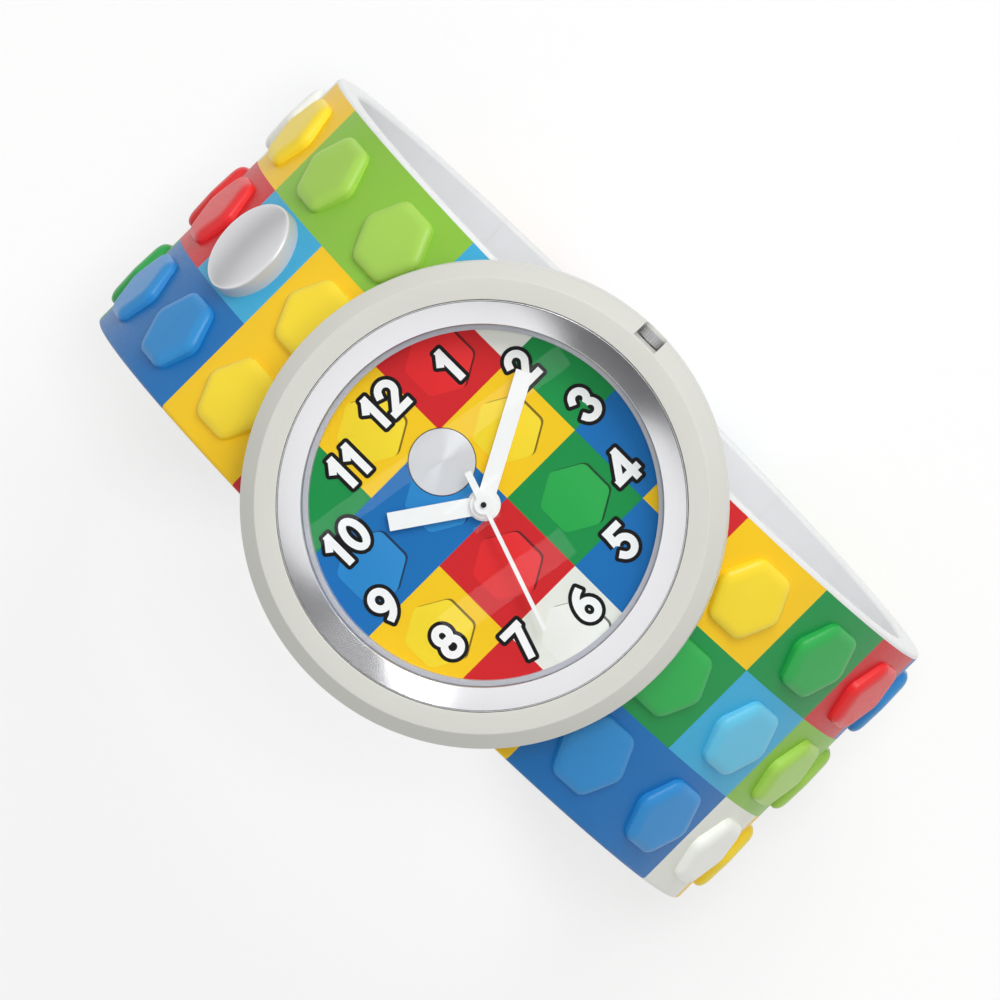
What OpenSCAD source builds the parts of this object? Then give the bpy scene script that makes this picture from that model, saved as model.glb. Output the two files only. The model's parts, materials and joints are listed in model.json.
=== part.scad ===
// Child's slap watch: a round quartz watch head on a springy band that curls round a wrist.
// Millimetres. The origin is the centre of the wrist loop: +X points to 3 o'clock (the crown),
// +Y to 12 o'clock and +Z out of the dial. Angles along the band are measured from the top.

/* [Band] */
// Radius of the band's outer face, curled
band_outer_r = 32.5; // [29:0.1:36]
// Thickness of the band
band_thickness = 2.2; // [2:0.1:3]
// Width of the band
band_width = 27.3; // [24:0.1:30]
// Open angle between the two tail ends, in degrees
end_gap_angle = 6; // [4:1:20]
// Height of the raised pads
pad_height = 0.8; // [0.3:0.1:1.2]
// Width of a pad across its flats
pad_flats = 6.4; // [5:0.1:7]

/* [Watch head] */
// Diameter of the case
case_d = 38; // [36:0.5:46]
// Clear height between the band and the case back
foot_height = 1.4; // [1.2:0.1:3]
// Thickness of the clear lens
crystal_thickness = 1.5; // [1.2:0.1:2]
// Room for the hands between dial and lens
hand_room = 2; // [1.8:0.1:3]
// Diameter of the button cell
battery_d = 6.8; // [5.8:0.1:7.9]
// Thickness of the button cell
battery_t = 2.1; // [2:0.05:2.7]

/* [Hands and crown] */
// Length of the hour hand from the centre
hour_length = 7.6; // [6:0.1:9]
// Length of the minute hand from the centre
minute_length = 10.9; // [9:0.1:12]
// Length of the second hand from the centre
second_length = 10.9; // [9:0.1:12]
// Diameter of the crown
crown_d = 2; // [1.8:0.1:2.8]

/* [Rivet] */
// Diameter of the rivet's head
rivet_d = 8.2; // [6:0.1:9]
// Height of the rivet's head
rivet_height = 1.8; // [1:0.1:2.4]

/* [Hidden] */
// The pieces
LINKS = 9;
TAILS = ["12", "6"];
$fn = 96;

// Colours
WHITE = [0.93, 0.94, 0.9];
OFF_WHITE = [0.83, 0.83, 0.8];
STEEL = [0.75, 0.76, 0.78];
BRASS = [0.8, 0.66, 0.36];
BLACK = [0.08, 0.08, 0.09];
CLEAR = [0.85, 0.92, 0.95, 0.35];
PRINT = [[1, 0.8, 0.08], [0.84, 0.13, 0.15], [0.05, 0.58, 0.28], [0.05, 0.46, 0.73]];

// General clearances
fit = 0.02;
loose = 0.05;
gap = 0.1;
eps = 0.01;

// Band
link_angle = (360 - end_gap_angle) / (2 * LINKS + 1);
slit_angle = gap / band_outer_r * 180 / PI;
skin_share = 0.386;
skin_t = band_thickness * skin_share;
slot_t = 0.35;
spring_margin = 3.2;
band_inner_r = band_outer_r - band_thickness;
slot_outer_r = band_outer_r - skin_t;
slot_inner_r = slot_outer_r - slot_t;
liner_t = slot_inner_r - band_inner_r;
spring_t = slot_t - gap;
spring_w = band_width - 2 * spring_margin;
slot_w = spring_w + 2 * gap;
tip_share = 0.2;
tip_angle = link_angle * tip_share;
band_edge = 0.35;
pad_pitch_share = 0.318;
pad_pitch = band_width * pad_pitch_share;
pad_sink_share = 0.58;
pad_sink = skin_t * pad_sink_share;

// Rivet and band screws
rivet_link = 3;
seat_share = 0.36;
rivet_seat_r = band_outer_r - skin_t * seat_share;
rivet_post_r = 1.2;
rivet_edge = 0.3;
washer_r = 2.6;
washer_share = 0.5;
washer_t = liner_t * washer_share;
band_screw_x = 5.2;
band_screw_r = 0.8;
band_screw_head_r = 1.7;
band_screw_reach = 0.7;

// Heights in the watch head, from the wrist axis up
back_t = 1;
floor_gap = 0.5;
cell_gap = 0.45;
plate_t = 0.6;
motion_h = 0.7;
dial_t = 0.4;
gasket_h = 0.3;
lip_t = 0.5;
bezel_rise = 0.4;
stem_drop = 1.05;
z_back = band_outer_r + foot_height;
z_case = z_back + back_t;
z_floor = z_case + floor_gap;
z_battery = z_case + cell_gap;
z_plate = z_battery + battery_t + cell_gap;
z_dial = z_plate + plate_t + motion_h;
z_dial_top = z_dial + dial_t;
z_crystal = z_dial_top + hand_room;
z_seat = z_crystal - gasket_h;
z_lip = z_seat - lip_t;
z_top = z_crystal + crystal_thickness + bezel_rise;
z_stem = z_plate - stem_drop;

// Radii in the watch head
wall_t = 2.5;
bevel_w = 1.2;
bevel_h = 1.6;
taper_w = 0.8;
taper_h = 0.8;
view_share = 0.721;
dial_margin = 0.9;
bezel_step = 0.48;
bezel_w = 1.87;
bezel_edge = 0.2;
bezel_slope = 0.45;
flange_w = 0.8;
crystal_flange_t = 0.6;
crystal_edge = 0.35;
case_r = case_d / 2;
bore_r = case_r - wall_t;
dial_r = bore_r - dial_margin;
view_r = case_r * view_share;
bezel_inner_r = view_r + bezel_step;
bezel_outer_r = bezel_inner_r + bezel_w;
crystal_r = bezel_inner_r - loose;
flange_r = bezel_inner_r + flange_w;

// Case back
spigot_gap = 0.6;
spigot_r = bore_r - spigot_gap;
spigot_h = 0.4;
back_edge = 0.6;
back_screw_inset = 1.7;
back_screw_r = case_r - back_screw_inset;
back_screw_shank_r = 0.45;
back_screw_head_r = 0.85;
back_screw_head_t = 0.5;
back_screw_length = 3;
foot_x = 16;
foot_y = 9;

// Movement
train_room = 4.7;
ring_gap = 0.4;
ring_step = 0.5;
ring_wall = 0.75;
ring_shelf_t = 0.45;
ring_lip_w = 1;
ring_lip_t = 0.3;
bridge_t = 0.4;
level_shares = [0.14, 0.42, 0.7];
wheel_share = 0.12;
motion_gap = 0.1;
motion_step = 0.3;
motion_t = 0.2;
arbor_r = 0.22;
pivot_r = 0.15;
battery_margin = 0.5;
battery_dir = -70;
movement_r = battery_d + train_room;
ring_inner_r = movement_r + ring_gap;
ring_step_r = ring_inner_r + ring_step;
ring_wall_r = bore_r - gap - ring_wall;
z_bridge = z_floor + bridge_t;
train_h = z_plate - z_bridge;
level_a = z_bridge + train_h * level_shares[0];
level_b = z_bridge + train_h * level_shares[1];
level_c = z_bridge + train_h * level_shares[2];
wheel_t = train_h * wheel_share;
level_d = z_plate + plate_t + motion_gap;
level_e = level_d + motion_step;
battery_dist = movement_r - battery_margin - battery_d / 2;

// Bridge, board, coil and clip, placed from the movement's centre
bridge_posts = [[-8.6, 4.4], [-8.6, -4.4], [7, 4.6], [7.4, -3]];
post_r = 0.9;
bridge_screw_r = 0.4;
bridge_screw_head_r = 0.75;
bridge_screw_head_t = 0.2;
screw_share = 0.7;
board_at = [-4.6, -6.4];
board_size = [6, 3];
board_t = 0.3;
can_r = 0.6;
can_length = 4.6;
coil_y = 8;
coil_from = -5;
coil_to = 4;
coil_r = 0.95;
core_from = -6.6;
core_to = 5.9;
core_w = 1;
core_t = 0.4;
z_stator = level_a;
stator_t = 0.25;
stator_from_y = 5.05;
stator_to_y = 6.95;
stator_arm = 1.2;
rotor_hole_r = 1.05;
magnet_r = 0.75;
cell_step_share = 0.25;
cell_step_w = 0.4;
clip_w = 1.6;
clip_t = 0.2;

// Gear train: teeth, then distances and directions from the centre
rotor_teeth = 8;
mid_teeth = 40;
pinion_teeth = 8;
seconds_teeth = 48;
third_teeth = 60;
centre_teeth = 64;
cannon_teeth = 12;
minute_teeth = 36;
minute_pinion_teeth = 10;
hour_teeth = 40;
third_dist = 4.2;
third_dir = 180;
mid_dist = 4.4;
mid_dir = 60;
rotor_dist = 2.4;
rotor_dir = 75;
minute_dist = 2.5;
minute_dir = 0;
m_seconds_third = 2 * third_dist / (pinion_teeth + third_teeth);
m_third_centre = 2 * third_dist / (pinion_teeth + centre_teeth);
m_mid_seconds = 2 * mid_dist / (pinion_teeth + seconds_teeth);
m_rotor_mid = 2 * rotor_dist / (rotor_teeth + mid_teeth);
m_cannon_minute = 2 * minute_dist / (cannon_teeth + minute_teeth);
m_minute_hour = 2 * minute_dist / (minute_pinion_teeth + hour_teeth);
// Shares of the module, and of the tooth pitch
addendum_share = 0.7;
dedendum_share = 1;
tooth_tip_share = 0.09;
tooth_root_share = 0.24;

// Hands, clockwise from 12 o'clock in degrees
hour_angle = 304.6;
minute_angle = 62;
second_angle = 199;
hand_t = 0.2;
hour_w = 1.45;
minute_w = 1.35;
second_w = 0.33;
second_tail = 2.86;
second_tail_w = 0.55;
hand_shares = [0.2, 0.4, 0.6];
z_hour = z_dial_top + hand_room * hand_shares[0];
z_minute = z_dial_top + hand_room * hand_shares[1];
z_second = z_dial_top + hand_room * hand_shares[2];
hour_hub_r = 1.3;
minute_hub_r = 1.1;
second_hub_r = 0.75;
cannon_pipe_r = 0.48;
cannon_bore_r = arbor_r + loose;
hour_bore_r = cannon_pipe_r + loose;
hour_pipe_r = 0.85;
pin_top = 0.2;

// Crown and setting work
crown_r = crown_d / 2;
crown_length = 0.8;
crown_inset = 0.25;
crown_flutes = 24;
flute_depth = 0.04;
crown_outer_x = case_r - crown_inset;
crown_inner_x = crown_outer_x - crown_length;
pocket_gap = 0.12;
stem_r = 0.5;
stem_inner_x = 5.4;
stem_gap = 0.25;
tube_r = stem_r + loose;
gasket_inset = 2.25;
gasket_x = case_r - gasket_inset;
gasket_t = 0.4;
gasket_r = 0.85;
groove_r = 0.4;
sliding_x = 6;
sliding_length = 1.4;
sliding_r = 0.75;
lever_x = 8.4;
lever_t = 0.3;
lever_w = 2.4;
lever_h = 0.55;
lever_groove_r = 0.3;

// Shapes that repeat

// Turns shapes made round Z into shapes round the band's axis, at an angle from the top.
module around_band(angle) {
    rotate([-angle, 0, 0]) children();
}

module band_arc(from, to) {
    rotate([0, -90, 0])
        rotate([0, 0, from])
            rotate_extrude(angle = to - from, $fn = 180) children();
}

module band_profile() {
    half = band_width / 2;
    polygon([
        [band_inner_r, band_edge - half],
        [band_inner_r + band_edge, -half],
        [band_outer_r - band_edge, -half],
        [band_outer_r, band_edge - half],
        [band_outer_r, half - band_edge],
        [band_outer_r - band_edge, half],
        [band_inner_r + band_edge, half],
        [band_inner_r, half - band_edge]
    ]);
}

module slot_profile() {
    translate([slot_inner_r, -slot_w / 2]) square([slot_t, slot_w]);
}

module spring_profile() {
    translate([slot_inner_r + gap / 2, -spring_w / 2]) square([spring_t, spring_w]);
}

module pad(x) {
    translate([x, 0, band_outer_r - pad_sink])
        rotate([0, 0, 90])
            cylinder(h = pad_sink + pad_height, r = pad_flats / sqrt(3), $fn = 6);
}

module rivet_holes() {
    around_band(rivet_link * link_angle) {
        translate([0, 0, band_inner_r - loose])
            cylinder(h = band_thickness, r = rivet_post_r + fit);
        translate([0, 0, rivet_seat_r])
            cylinder(h = band_thickness, r = rivet_d / 2 + gap);
        translate([0, 0, band_inner_r - gap])
            cylinder(h = washer_t + 3 * gap, r = washer_r + gap);
    }
}

// One rigid length of the band, with its row of pads; k counts from the watch head.
module band_link(k, riveted) {
    middle = k * link_angle;
    from = middle - link_angle / 2 + slit_angle / 2;
    to = middle + link_angle / 2 - (k == LINKS ? 0 : slit_angle / 2);
    slot_to = k == LINKS ? to - tip_angle : to + slit_angle;
    difference() {
        union() {
            band_arc(from, to) band_profile();
            around_band(middle)
                for (i = [-1, 0, 1])
                    if (!riveted || i != 0) pad(i * pad_pitch);
        }
        band_arc(from - slit_angle, slot_to) slot_profile();
        if (riveted) rivet_holes();
    }
}

module gear(teeth, m, angle, t) {
    r = m * teeth / 2;
    pitch = 360 / teeth;
    tip = r + addendum_share * m;
    root = r - dedendum_share * m;
    spots = [[-tooth_root_share, root], [-tooth_tip_share, tip],
        [tooth_tip_share, tip], [tooth_root_share, root]];
    linear_extrude(t)
        polygon([
            for (i = [0 : teeth - 1], s = spots)
                s[1] * [cos(angle + (i + s[0]) * pitch), sin(angle + (i + s[0]) * pitch)]
        ]);
}

// The turn that puts a gear in mesh with another one at the given direction from it.
function meshed(dir, angle, teeth, own) = dir + 180 + (dir - angle) * teeth / own + 180 / own;

function polar(dist, dir) = [dist * cos(dir), dist * sin(dir), 0];

module at(dist, dir) {
    translate(polar(dist, dir)) children();
}

mid_pos = polar(mid_dist, mid_dir);
rotor_pos = mid_pos + polar(rotor_dist, rotor_dir);
third_pos = polar(third_dist, third_dir);

// Phases of the train, from the seconds wheel outwards
third_phase = meshed(third_dir, 0, pinion_teeth, third_teeth);
centre_phase = meshed(third_dir + 180, third_phase, pinion_teeth, centre_teeth);
mid_phase = meshed(mid_dir, 0, seconds_teeth, pinion_teeth);
rotor_phase = meshed(rotor_dir, mid_phase, mid_teeth, rotor_teeth);
minute_phase = meshed(minute_dir, 0, cannon_teeth, minute_teeth);
hour_phase = meshed(minute_dir + 180, minute_phase, minute_pinion_teeth, hour_teeth);

module hand(angle, length, w, hub_r, bore, t) {
    rotate([0, 0, -angle])
        difference() {
            union() {
                translate([-w / 2, 0, 0]) cube([w, length, t]);
                cylinder(h = t, r = hub_r, $fn = 48);
            }
            translate([0, 0, -t]) cylinder(h = 3 * t, r = bore, $fn = 48);
        }
}

module ring(outer, inner, h) {
    difference() {
        cylinder(h = h, r = outer);
        translate([0, 0, -h]) cylinder(h = 3 * h, r = inner);
    }
}

module four_round() {
    for (a = [45 : 90 : 315]) rotate([0, 0, a]) translate([back_screw_r, 0, 0]) children();
}

module along_x(from, to, r) {
    translate([from, 0, z_stem]) rotate([0, 90, 0]) cylinder(h = to - from, r = r, $fn = 48);
}

// Band

module band_middle() {
    half = link_angle / 2 - slit_angle / 2;
    color(WHITE)
        difference() {
            band_arc(-half, half) band_profile();
            band_arc(-half - slit_angle, half + slit_angle) slot_profile();
            for (x = [-band_screw_x, band_screw_x])
                translate([x, 0, 0]) {
                    cylinder(h = z_back, r = band_screw_r + fit);
                    cylinder(h = slot_inner_r + gap, r = band_screw_head_r + gap);
                }
        }
}

module band_tail_link(tail, k) {
    color(PRINT[k % len(PRINT)])
        if (tail == "12") band_link(k, k == rivet_link);
        else mirror([0, 1, 0]) band_link(k, false);
}

module slap_spring() {
    reach = 180 - end_gap_angle / 2 - tip_angle - slit_angle;
    color(STEEL)
        difference() {
            band_arc(-reach, reach) spring_profile();
            for (x = [-band_screw_x, band_screw_x])
                translate([x, 0, 0]) cylinder(h = z_back, r = band_screw_r + gap);
            around_band(rivet_link * link_angle) cylinder(h = z_back, r = rivet_post_r + gap);
        }
}

module rivet_cap() {
    head_r = rivet_d / 2;
    color(STEEL)
        around_band(rivet_link * link_angle)
            translate([0, 0, band_inner_r + gap])
                rotate_extrude()
                    polygon([
                        [0, 0],
                        [rivet_post_r, 0],
                        [rivet_post_r, rivet_seat_r - band_inner_r - gap + eps],
                        [head_r, rivet_seat_r - band_inner_r - gap + eps],
                        [head_r, rivet_seat_r - band_inner_r - gap + rivet_height - rivet_edge],
                        [head_r - rivet_edge, rivet_seat_r - band_inner_r - gap + rivet_height],
                        [0, rivet_seat_r - band_inner_r - gap + rivet_height]
                    ]);
}

module rivet_washer() {
    color(STEEL)
        around_band(rivet_link * link_angle)
            translate([0, 0, band_inner_r + gap]) ring(washer_r, rivet_post_r + fit, washer_t);
}

module band_screws() {
    head_t = liner_t - 2 * gap;
    head_z = band_inner_r + gap;
    color(STEEL)
        for (x = [-band_screw_x, band_screw_x])
            translate([x, 0, head_z]) {
                difference() {
                    cylinder(h = head_t, r = band_screw_head_r);
                    translate([0, 0, -head_t / 2])
                        cube([2 * band_screw_head_r, band_screw_r / 2, 2 * head_t], center = true);
                }
                cylinder(h = z_back + band_screw_reach - head_z, r = band_screw_r);
            }
}

// Case

module case_body() {
    color(OFF_WHITE)
        difference() {
            rotate_extrude()
                polygon([
                    [bore_r, z_case],
                    [case_r - taper_w, z_case],
                    [case_r, z_case + taper_h],
                    [case_r, z_top - bevel_h],
                    [case_r - bevel_w, z_top],
                    [bezel_outer_r + loose, z_top],
                    [bezel_outer_r + loose, z_seat + crystal_flange_t],
                    [flange_r + loose, z_seat + crystal_flange_t],
                    [flange_r + loose, z_seat],
                    [bezel_inner_r + loose, z_seat],
                    [bezel_inner_r + loose, z_lip],
                    [bore_r, z_lip]
                ]);
            crown_pocket();
            along_x(bore_r - gap, case_r, tube_r);
            along_x(gasket_x - gap, case_r, gasket_r + fit);
            four_round()
                translate([0, 0, z_case - gap])
                    cylinder(h = back_screw_length + gap, r = back_screw_shank_r + fit, $fn = 32);
        }
}

// Room for the crown, open to the side and up through the bevel.
module crown_pocket() {
    half = crown_r + pocket_gap;
    inner = crown_inner_x - pocket_gap;
    along_x(inner, case_r + crown_r, half);
    translate([inner, -half, z_stem]) cube([case_r, 2 * half, z_top]);
}

module bezel_ring() {
    base = z_seat + crystal_flange_t + gap;
    shelf = z_crystal + crystal_flange_t + loose;
    color(STEEL)
        rotate_extrude()
            polygon([
                [flange_r + loose, base],
                [bezel_outer_r, base],
                [bezel_outer_r, z_top + loose],
                [bezel_outer_r - bezel_edge, z_top + bezel_edge / 2],
                [bezel_inner_r, z_top - bezel_slope],
                [bezel_inner_r, shelf],
                [flange_r + loose, shelf]
            ]);
}

module crystal() {
    top = z_crystal + crystal_thickness;
    color(CLEAR)
        rotate_extrude()
            polygon([
                [0, z_crystal],
                [flange_r, z_crystal],
                [flange_r, z_crystal + crystal_flange_t],
                [crystal_r, z_crystal + crystal_flange_t],
                [crystal_r, top - crystal_edge],
                [crystal_r - crystal_edge, top],
                [0, top]
            ]);
}

module crystal_gasket() {
    color(BLACK)
        translate([0, 0, z_seat + eps])
            ring(flange_r, bezel_inner_r + gap, z_crystal - z_seat - 2 * eps);
}

module flange_ring() {
    color(STEEL)
        rotate_extrude()
            polygon([
                [view_r, z_dial_top + eps],
                [dial_r, z_dial_top + eps],
                [dial_r, z_lip - loose],
                [bezel_inner_r - loose, z_lip - loose],
                [bezel_inner_r - loose, z_crystal - gap],
                [view_r, z_crystal - gap]
            ]);
}

module case_back() {
    color(STEEL)
        difference() {
            union() {
                rotate_extrude()
                    polygon([
                        [0, z_back],
                        [case_r - taper_w - back_edge, z_back],
                        [case_r - taper_w, z_case - loose],
                        [spigot_r, z_case - loose],
                        [spigot_r, z_case + spigot_h],
                        [spigot_r - back_t, z_case + spigot_h],
                        [spigot_r - back_t, z_case],
                        [0, z_case]
                    ]);
                translate([-foot_x / 2, -foot_y / 2, band_inner_r])
                    cube([foot_x, foot_y, z_back - band_inner_r + loose]);
            }
            rotate([0, 90, 0])
                cylinder(h = 2 * case_r, r = band_outer_r + fit, center = true, $fn = 180);
            for (x = [-band_screw_x, band_screw_x])
                cylinder_at(x, band_screw_r + fit, band_inner_r, z_back + band_screw_reach + loose);
            four_round() {
                translate([0, 0, z_back - gap])
                    cylinder(h = back_screw_head_t + gap, r = back_screw_head_r + loose, $fn = 32);
                translate([0, 0, z_back])
                    cylinder(h = 2 * back_t, r = back_screw_shank_r + loose, $fn = 32);
            }
        }
}

module cylinder_at(x, r, from, to) {
    translate([x, 0, from]) cylinder(h = to - from, r = r);
}

module case_back_gasket() {
    color(BLACK)
        translate([0, 0, z_case + eps]) ring(bore_r - loose, spigot_r + loose, spigot_h - 2 * eps);
}

module case_back_screws() {
    slot_w = back_screw_shank_r / 2;
    color(STEEL)
        four_round()
            translate([0, 0, z_back]) {
                difference() {
                    cylinder(h = back_screw_head_t - fit, r = back_screw_head_r, $fn = 32);
                    cube([2 * back_screw_head_r, slot_w, back_screw_head_t], center = true);
                }
                cylinder(h = back_t + back_screw_length - gap, r = back_screw_shank_r, $fn = 32);
            }
}

// Dial and hands

module dial() {
    color(PRINT[0])
        translate([0, 0, z_dial]) ring(dial_r, hour_pipe_r + gap, dial_t - eps);
}

module hour_hand() {
    color(WHITE)
        translate([0, 0, z_hour])
            hand(hour_angle, hour_length, hour_w, hour_hub_r, hour_pipe_r + eps, hand_t);
}

module minute_hand() {
    color(WHITE)
        translate([0, 0, z_minute])
            hand(minute_angle, minute_length, minute_w, minute_hub_r, cannon_pipe_r + eps, hand_t);
}

module second_hand() {
    color(WHITE)
        translate([0, 0, z_second]) {
            hand(second_angle, second_length, second_w, second_hub_r, arbor_r + eps, hand_t);
            rotate([0, 0, 180 - second_angle])
                translate([-second_tail_w / 2, second_hub_r / 2, 0])
                    cube([second_tail_w, second_tail - second_hub_r / 2, hand_t]);
        }
}

// Movement

module movement_ring() {
    color(WHITE)
        difference() {
            rotate_extrude()
                polygon([
                    [ring_inner_r, z_plate - loose - ring_shelf_t],
                    [ring_wall_r, z_plate - loose - ring_shelf_t],
                    [ring_wall_r, z_floor],
                    [bore_r - gap, z_floor],
                    [bore_r - gap, z_dial - loose],
                    [dial_r - ring_lip_w, z_dial - loose],
                    [dial_r - ring_lip_w, z_dial - loose - ring_lip_t],
                    [ring_wall_r, z_dial - loose - ring_lip_t],
                    [ring_wall_r, z_plate - loose],
                    [ring_inner_r, z_plate - loose]
                ]);
            along_x(0, case_r, stem_r + stem_gap);
        }
}

module main_plate() {
    color(BRASS)
        difference() {
            union() {
                translate([0, 0, z_plate]) cylinder(h = plate_t, r = ring_step_r - gap);
                at(minute_dist, minute_dir)
                    translate([0, 0, z_plate + plate_t / 2])
                        cylinder(h = z_dial - z_plate - plate_t / 2 - gap, r = arbor_r, $fn = 32);
                for (p = bridge_posts)
                    translate([p[0], p[1], z_bridge + eps])
                        cylinder(h = z_plate - z_bridge, r = post_r, $fn = 48);
            }
            translate([0, 0, z_plate - gap])
                cylinder(h = plate_t + 2 * gap, r = cannon_pipe_r + loose, $fn = 48);
            for (p = [third_pos, mid_pos, rotor_pos])
                translate(p + [0, 0, z_plate - gap])
                    cylinder(h = plate_t + 2 * gap, r = pivot_r + loose, $fn = 32);
            for (p = bridge_posts)
                translate([p[0], p[1], z_floor])
                    cylinder(h = train_h, r = bridge_screw_r + fit, $fn = 32);
        }
}

module bridge_outline() {
    cylinder(h = bridge_t, r = mid_dist);
    for (p = concat(bridge_posts, [third_pos, mid_pos, rotor_pos]))
        hull() {
            cylinder(h = bridge_t, r = post_r, $fn = 24);
            translate([p[0], p[1], 0]) cylinder(h = bridge_t, r = post_r, $fn = 24);
        }
}

module train_bridge() {
    color(STEEL)
        translate([0, 0, z_floor])
            difference() {
                bridge_outline();
                for (p = concat([[0, 0, 0]], [third_pos, mid_pos, rotor_pos]))
                    translate(p + [0, 0, -gap])
                        cylinder(h = bridge_t + 2 * gap, r = pivot_r + loose, $fn = 32);
                for (p = bridge_posts)
                    translate([p[0], p[1], -gap]) {
                        cylinder(h = bridge_t + 2 * gap, r = bridge_screw_r + loose, $fn = 32);
                        cylinder(h = bridge_screw_head_t + gap, r = bridge_screw_head_r + loose, $fn = 32);
                    }
                battery_space(battery_d / 2 + 2 * gap);
            }
}

module battery_space(r) {
    at(battery_dist, battery_dir) translate([0, 0, -battery_t]) cylinder(h = 3 * battery_t, r = r);
}

module bridge_screws() {
    color(STEEL)
        for (p = bridge_posts)
            translate([p[0], p[1], z_floor]) {
                cylinder(h = bridge_screw_head_t - fit, r = bridge_screw_head_r, $fn = 32);
                cylinder(h = train_h * screw_share, r = bridge_screw_r, $fn = 32);
            }
}

module circuit_board() {
    color(PRINT[2])
        translate([board_at[0], board_at[1], z_plate - board_t - eps])
            translate([-board_size[0] / 2, -board_size[1] / 2, 0])
                cube([board_size[0], board_size[1], board_t]);
}

module quartz_can() {
    color(STEEL)
        translate([board_at[0] - can_length / 2, board_at[1], z_plate - board_t - can_r - 2 * eps])
            rotate([0, 90, 0]) cylinder(h = can_length, r = can_r, $fn = 32);
}

// Copper winding on its soft iron core.
module drive_coil() {
    z_core = z_stator + stator_t + eps;
    color(BRASS) {
        translate([core_from, coil_y - core_w / 2, z_core])
            cube([core_to - core_from, core_w, core_t]);
        translate([coil_from, coil_y, z_core + core_t / 2])
            rotate([0, 90, 0]) cylinder(h = coil_to - coil_from, r = coil_r, $fn = 48);
    }
}

module stator() {
    color(STEEL)
        translate([0, 0, z_stator])
            difference() {
                union() {
                    translate([core_from, stator_from_y, 0])
                        cube([core_to - core_from, stator_to_y - stator_from_y, stator_t]);
                    for (x = [core_from, core_to - stator_arm])
                        translate([x, stator_from_y, 0])
                            cube([stator_arm, coil_y + core_w / 2 - stator_from_y, stator_t]);
                }
                translate([rotor_pos[0], rotor_pos[1], -stator_t])
                    cylinder(h = 3 * stator_t, r = rotor_hole_r, $fn = 48);
            }
}

module battery() {
    step_h = battery_t * cell_step_share;
    r = battery_d / 2;
    color(STEEL)
        at(battery_dist, battery_dir)
            translate([0, 0, z_battery])
                rotate_extrude()
                    polygon([
                        [0, 0], [r - cell_step_w, 0], [r - cell_step_w, step_h],
                        [r, step_h], [r, battery_t], [0, battery_t]
                    ]);
}

// Contact strip across the back of the cell.
module battery_clip() {
    reach = battery_d / 2 + clip_w / 4;
    color(BRASS)
        at(battery_dist, battery_dir)
            rotate([0, 0, battery_dir + 90])
                translate([-reach, -clip_w / 2, z_battery + battery_t + gap])
                    cube([2 * reach, clip_w, clip_t]);
}

module rotor() {
    color(STEEL)
        translate(rotor_pos) {
            translate([0, 0, z_floor + loose])
                cylinder(h = z_plate + plate_t - z_floor - 2 * loose, r = pivot_r, $fn = 32);
            translate([0, 0, level_a - wheel_t / 2]) cylinder(h = 2 * wheel_t, r = magnet_r, $fn = 48);
            translate([0, 0, level_b - wheel_t / 2])
                gear(rotor_teeth, m_rotor_mid, rotor_phase, 2 * wheel_t);
        }
}

// A wheel with its pinion on one arbor between the bridge and the main plate.
module wheel_and_pinion(wheel, wheel_z, pinion, pinion_z) {
    translate([0, 0, z_floor + loose])
        cylinder(h = z_plate + plate_t - z_floor - 2 * loose, r = pivot_r, $fn = 32);
    translate([0, 0, wheel_z]) gear(wheel[0], wheel[1], wheel[2], wheel_t);
    translate([0, 0, pinion_z - wheel_t / 2]) gear(pinion[0], pinion[1], pinion[2], 2 * wheel_t);
    low = min(wheel_z, pinion_z);
    translate([0, 0, low]) cylinder(h = abs(wheel_z - pinion_z) + wheel_t, r = arbor_r, $fn = 32);
}

module intermediate_wheel() {
    color(WHITE)
        translate(mid_pos)
            wheel_and_pinion(
                [mid_teeth, m_rotor_mid, mid_phase], level_b,
                [pinion_teeth, m_mid_seconds, mid_phase], level_a
            );
}

module third_wheel() {
    color(WHITE)
        translate(third_pos)
            wheel_and_pinion(
                [third_teeth, m_seconds_third, third_phase], level_b,
                [pinion_teeth, m_third_centre, third_phase], level_c
            );
}

module seconds_wheel() {
    color(BLACK) {
        translate([0, 0, z_floor + loose]) cylinder(h = level_a - z_floor, r = pivot_r, $fn = 32);
        translate([0, 0, level_a])
            cylinder(h = z_second + hand_t + pin_top - level_a, r = arbor_r, $fn = 32);
        translate([0, 0, level_a]) gear(seconds_teeth, m_mid_seconds, 0, wheel_t);
        translate([0, 0, level_b - wheel_t / 2])
            gear(pinion_teeth, m_seconds_third, 0, 2 * wheel_t);
    }
}

module centre_wheel() {
    color(BRASS)
        difference() {
            union() {
                translate([0, 0, level_c]) gear(centre_teeth, m_third_centre, centre_phase, wheel_t);
                translate([0, 0, level_c])
                    cylinder(h = z_minute + hand_t + loose - level_c, r = cannon_pipe_r, $fn = 48);
                translate([0, 0, level_d]) gear(cannon_teeth, m_cannon_minute, 0, motion_t);
            }
            translate([0, 0, level_c - gap])
                cylinder(h = z_second, r = cannon_bore_r, $fn = 32);
        }
}

module minute_wheel() {
    color(WHITE)
        at(minute_dist, minute_dir)
            difference() {
                union() {
                    translate([0, 0, level_d])
                        gear(minute_teeth, m_cannon_minute, minute_phase, motion_t);
                    translate([0, 0, level_d])
                        gear(minute_pinion_teeth, m_minute_hour, minute_phase, level_e + motion_t - level_d);
                }
                translate([0, 0, level_d - gap])
                    cylinder(h = z_dial - level_d, r = arbor_r + loose, $fn = 32);
            }
}

module hour_wheel() {
    color(BRASS)
        difference() {
            union() {
                translate([0, 0, level_e]) gear(hour_teeth, m_minute_hour, hour_phase, motion_t);
                translate([0, 0, level_e])
                    cylinder(h = z_hour + hand_t + loose - level_e, r = hour_pipe_r, $fn = 48);
            }
            translate([0, 0, level_e - gap]) cylinder(h = z_second, r = hour_bore_r, $fn = 48);
        }
}

// Crown and setting work

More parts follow.
